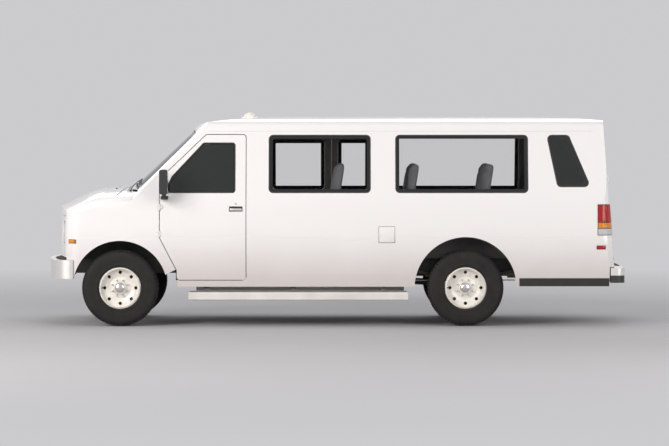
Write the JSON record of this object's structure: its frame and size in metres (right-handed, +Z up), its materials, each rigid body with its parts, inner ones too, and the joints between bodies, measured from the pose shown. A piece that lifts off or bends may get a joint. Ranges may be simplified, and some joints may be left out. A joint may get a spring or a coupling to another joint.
{
  "type": "passenger van",
  "caption": "Full-size long passenger van with swing-out side and rear doors, hood, bench seats, steered front wheels and a ladder frame.",
  "frame": {"origin": "on the ground below the middle of the overall length and width", "axes": "+X forward, +Y to the van's left, +Z up"},
  "size_m": [5.89, 2.46, 2.168],
  "materials": {
    "white_paint": "gloss",
    "glass": "tinted",
    "clear_lamp": "clear",
    "red_lamp": "translucent look",
    "bumper_chrome": "satin",
    "grey_plastic": "grained",
    "black_plastic": "grained",
    "interior_plastic": "grained",
    "floor_mat": "ribbed",
    "chassis_black": "satin",
    "engine_iron": "raw",
    "pipe_steel": "weathered",
    "seat_fabric": "woven",
    "tyre": "matte",
    "wheel_paint": "gloss",
    "beacon_lens": "clear look"
  },
  "bodies": {
    "body": {"chassis_frame": "chassis_black", "floor_pan": "floor_mat", "side_panel_left": "white_paint", "side_panel_right": "white_paint", "roof_panel": "white_paint", "front_body": "white_paint", "windshield": "glass", "side_glass": "glass", "grille": "bumper_chrome", "headlamps": "clear_lamp", "tail_lamps": "red_lamp", "front_bumper": "bumper_chrome", "rear_bumper": "bumper_chrome", "dashboard": "interior_plastic", "engine_cover": "interior_plastic", "engine_block": "engine_iron", "exhaust_pipe": "pipe_steel", "fuel_tank": "black_plastic", "running_boards": "bumper_chrome", "front_axle": "chassis_black", "coil_springs": "chassis_black", "rear_axle": "chassis_black", "leaf_springs": "chassis_black", "seat_frames": "chassis_black", "front_seats": "seat_fabric", "bench_seats": "seat_fabric", "roof_beacon": "beacon_lens"},
    "hood": {"hood": "white_paint"},
    "driver_door": {"driver_door": "white_paint", "driver_door_glass": "glass", "mirror_left": "black_plastic"},
    "passenger_door": {"passenger_door": "white_paint", "passenger_door_glass": "glass", "mirror_right": "black_plastic"},
    "side_door_front": {"side_door_front": "white_paint", "side_glass_front": "glass"},
    "side_door_rear": {"side_door_rear": "white_paint", "side_glass_rear": "glass"},
    "rear_door_left": {"rear_door_left": "white_paint", "rear_glass_left": "glass"},
    "rear_door_right": {"rear_door_right": "white_paint", "rear_glass_right": "glass"},
    "knuckle_left": {"knuckle_left": "engine_iron"},
    "knuckle_right": {"knuckle_right": "engine_iron"},
    "wheel_front_left": {"tyre_front_left": "tyre", "rim_front_left": "wheel_paint"},
    "wheel_front_right": {"tyre_front_right": "tyre", "rim_front_right": "wheel_paint"},
    "wheel_rear_left": {"tyre_rear_left": "tyre", "rim_rear_left": "wheel_paint"},
    "wheel_rear_right": {"tyre_rear_right": "tyre", "rim_rear_right": "wheel_paint"},
    "steering_wheel": {"steering_wheel": "black_plastic"}
  },
  "joints": [
    {"name": "hood_hinge", "type": "hinge", "parent": "body", "child": "hood", "pos_m": [2.09, 0, 1.345], "axis": [0, -1, 0], "range_deg": [0, 50]},
    {"name": "driver_door_hinge", "type": "hinge", "parent": "body", "child": "driver_door", "pos_m": [1.7735, 1.01, 1.075], "axis": [0, 0, -1], "range_deg": [0, 65]},
    {"name": "passenger_door_hinge", "type": "hinge", "parent": "body", "child": "passenger_door", "pos_m": [1.7735, -1.01, 1.075], "axis": [0, 0, 1], "range_deg": [0, 65]},
    {"name": "side_door_front_hinge", "type": "hinge", "parent": "body", "child": "side_door_front", "pos_m": [0.7435, -1.01, 1.2], "axis": [0, 0, 1], "range_deg": [0, 90]},
    {"name": "side_door_rear_hinge", "type": "hinge", "parent": "body", "child": "side_door_rear", "pos_m": [-0.4435, -1.01, 1.2], "axis": [0, 0, -1], "range_deg": [0, 90]},
    {"name": "rear_door_left_hinge", "type": "hinge", "parent": "body", "child": "rear_door_left", "pos_m": [-2.79872, 0.8035, 1.27735], "axis": [-0.0802, 0, -0.9968], "range_deg": [0, 165]},
    {"name": "rear_door_right_hinge", "type": "hinge", "parent": "body", "child": "rear_door_right", "pos_m": [-2.79872, -0.8035, 1.27735], "axis": [0.0802, 0, 0.9968], "range_deg": [0, 165]},
    {"name": "steer_left", "type": "hinge", "parent": "body", "child": "knuckle_left", "pos_m": [2.175, 0.745, 0.387], "axis": [0, 0, 1], "range_deg": [-33, 33]},
    {"name": "steer_right", "type": "hinge", "parent": "body", "child": "knuckle_right", "pos_m": [2.175, -0.745, 0.387], "axis": [0, 0, 1], "range_deg": [-33, 33]},
    {"name": "wheel_front_left_spin", "type": "hinge", "parent": "knuckle_left", "child": "wheel_front_left", "pos_m": [2.175, 0.88, 0.387], "axis": [0, 1, 0], "continuous": true},
    {"name": "wheel_front_right_spin", "type": "hinge", "parent": "knuckle_right", "child": "wheel_front_right", "pos_m": [2.175, -0.88, 0.387], "axis": [0, 1, 0], "continuous": true},
    {"name": "wheel_rear_left_spin", "type": "hinge", "parent": "body", "child": "wheel_rear_left", "pos_m": [-1.33, 0.855, 0.387], "axis": [0, 1, 0], "continuous": true},
    {"name": "wheel_rear_right_spin", "type": "hinge", "parent": "body", "child": "wheel_rear_right", "pos_m": [-1.33, -0.855, 0.387], "axis": [0, 1, 0], "continuous": true},
    {"name": "steering_wheel_turn", "type": "hinge", "parent": "body", "child": "steering_wheel", "pos_m": [1.55, 0.47, 1.235], "axis": [-0.8191, 0, 0.5736], "range_deg": [-530, 530]}
  ],
  "couplings": [
    {"joint": "steer_right", "follows": "steer_left", "ratio": 1},
    {"joint": "steering_wheel_turn", "follows": "steer_left", "ratio": 16}
  ]
}
